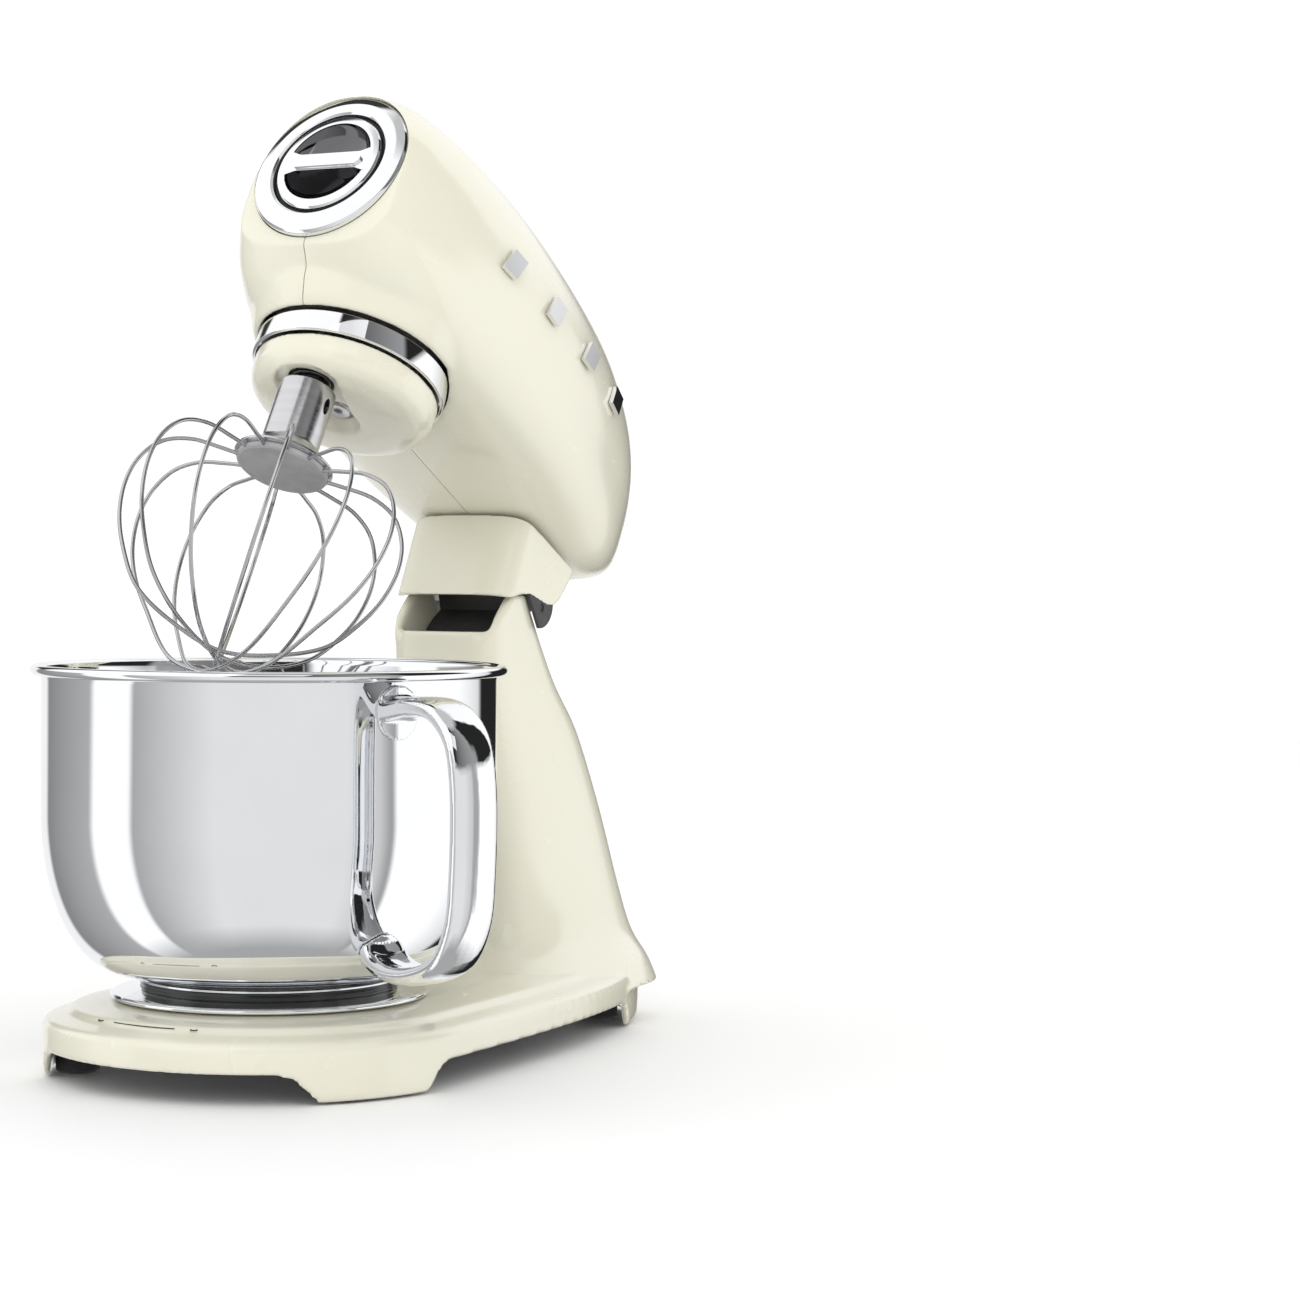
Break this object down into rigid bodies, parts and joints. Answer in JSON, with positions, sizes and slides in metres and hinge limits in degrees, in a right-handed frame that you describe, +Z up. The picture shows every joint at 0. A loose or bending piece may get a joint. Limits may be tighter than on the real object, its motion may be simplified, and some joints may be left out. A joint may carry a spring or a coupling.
{
  "type": "stand mixer",
  "caption": "Tilt-head stand mixer, head raised, with a handled steel bowl locked on its base and a wire whisk on its planetary drive.",
  "frame": {"origin": "centre of the whole box on the table, head raised", "axes": "+Z up from the table, -Y the way the mixer faces, +X its right-hand side"},
  "size_m": [0.2682, 0.4124, 0.4624],
  "materials": {
    "cream_enamel": "gloss cream enamel",
    "polished_chrome": "mirror polish",
    "satin_steel": "satin, brushed round the axis",
    "black_rubber": "matte",
    "dark_plastic": "fine grain",
    "raw_aluminium": "as cast",
    "gear_steel": "machined and oiled",
    "copper_winding": "varnished windings and sintered bronze",
    "circuit_board": "solder mask"
  },
  "bodies": {
    "stand": {"stand_casting": "cream_enamel", "base_plate": "dark_plastic", "foot_front_left": "black_rubber", "foot_front_right": "black_rubber", "foot_rear_left": "black_rubber", "foot_rear_right": "black_rubber", "bowl_lock_plate": "satin_steel", "hinge_pin": "gear_steel", "cord_gland": "dark_plastic", "button_guide": "dark_plastic", "button_spring": "gear_steel"},
    "bowl": {"bowl_shell": "satin_steel", "bowl_foot_ring": "polished_chrome", "bowl_handle": "polished_chrome"},
    "button": {"release_button": "polished_chrome"},
    "head": {"head_shell_right": "cream_enamel", "head_shell_left": "cream_enamel", "neck_collar": "cream_enamel", "hinge_arm": "dark_plastic", "hinge_bush": "copper_winding", "cap_bezel": "polished_chrome", "attachment_hub": "raw_aluminium", "speed_scale": "polished_chrome", "badge_right_1": "polished_chrome", "badge_right_2": "polished_chrome", "badge_right_3": "polished_chrome", "badge_right_4": "polished_chrome", "badge_left_1": "polished_chrome", "badge_left_2": "polished_chrome", "badge_left_3": "polished_chrome", "badge_left_4": "polished_chrome", "drive_ring": "polished_chrome", "ring_gear": "gear_steel", "gearbox_housing": "raw_aluminium", "gearbox_lid": "raw_aluminium", "lower_bearing": "gear_steel", "upper_bearing": "gear_steel", "motor_stator": "gear_steel", "control_board": "circuit_board"},
    "carrier": {"planet_carrier": "cream_enamel", "central_shaft": "gear_steel", "carrier_bolt": "satin_steel", "worm_wheel": "gear_steel"},
    "beater": {"beater_shaft": "satin_steel", "planet_pinion": "gear_steel", "drive_pin": "gear_steel", "beater_spring": "gear_steel"},
    "whisk": {"whisk_hub": "satin_steel", "whisk_wire_1": "satin_steel", "whisk_wire_2": "satin_steel", "whisk_wire_3": "satin_steel", "whisk_wire_4": "satin_steel", "whisk_wire_5": "satin_steel", "whisk_wire_6": "satin_steel"},
    "rotor": {"motor_shaft": "gear_steel", "motor_rotor": "copper_winding", "cooling_fan": "dark_plastic"},
    "cover": {"hub_cover": "polished_chrome"},
    "lever": {"speed_lever": "polished_chrome"}
  },
  "joints": [
    {"name": "head_tilt", "type": "hinge", "parent": "stand", "child": "head", "pos_m": [-0.02363, 0.12232, 0.157], "axis": [1, 0, 0], "range_deg": [0, 29.6]},
    {"name": "bowl_twist", "type": "hinge", "parent": "stand", "child": "bowl", "pos_m": [-0.02363, -0.09568, 0.036], "axis": [0, 0, 1], "range_deg": [0, 40]},
    {"name": "release_press", "type": "slide", "parent": "stand", "child": "button", "axis": [0, -1, 0], "range_m": [0, 0.004], "stiffness_N_per_m": 900, "springref_m": -0.004},
    {"name": "carrier_spin", "type": "hinge", "parent": "head", "child": "carrier", "pos_m": [-0.02363, -0.03859, 0.31511], "axis": [0, 0.4939, 0.8695], "continuous": true},
    {"name": "beater_spin", "type": "hinge", "parent": "carrier", "child": "beater", "pos_m": [-0.02363, -0.06119, 0.32795], "axis": [0, 0.4939, 0.8695], "continuous": true},
    {"name": "motor_spin", "type": "hinge", "parent": "head", "child": "rotor", "pos_m": [-0.05113, 0.04964, 0.34895], "axis": [0, 0.8695, -0.4939], "continuous": true},
    {"name": "whisk_press", "type": "slide", "parent": "beater", "child": "whisk", "axis": [0, 0.4939, 0.8695], "range_m": [0, 0.0035], "stiffness_N_per_m": 1200, "springref_m": -0.006},
    {"name": "cover_pull", "type": "slide", "parent": "head", "child": "cover", "axis": [0, -0.8329, 0.5534], "range_m": [0, 0.03]},
    {"name": "speed_slide", "type": "slide", "parent": "head", "child": "lever", "axis": [0, 0.8251, -0.565], "range_m": [0, 0.036]}
  ],
  "couplings": [
    {"joint": "beater_spin", "follows": "carrier_spin", "ratio": -3},
    {"joint": "motor_spin", "follows": "carrier_spin", "ratio": -20}
  ]
}
